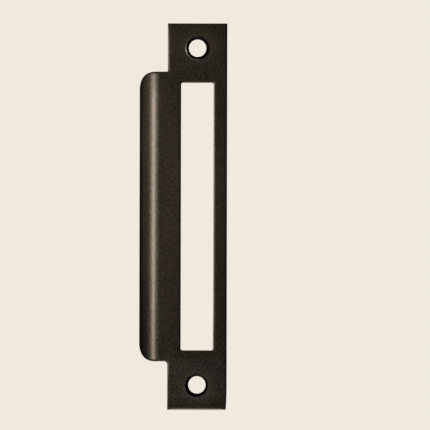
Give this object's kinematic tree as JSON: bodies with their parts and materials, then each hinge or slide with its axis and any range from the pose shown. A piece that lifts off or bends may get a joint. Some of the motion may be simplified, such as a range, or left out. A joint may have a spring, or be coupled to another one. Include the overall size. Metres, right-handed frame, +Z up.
{
  "type": "door strike plate",
  "caption": "Flat upright strike plate with a long rectangular opening for latch and bolt, countersunk screw holes, and a full curved lip on its left edge.",
  "frame": {"origin": "midway between the two screw holes, on the flat back face that sits against the door frame", "axes": "+Z up along the plate's length, -Y out of the plate's face towards the door, -X towards the curved lip, whose tip turns back to +Y"},
  "size_m": [0.0354, 0.0049, 0.156],
  "materials": {
    "dark_bronze": "satin"
  },
  "bodies": {
    "root": {"strike_plate": "dark_bronze"}
  },
  "joints": []
}
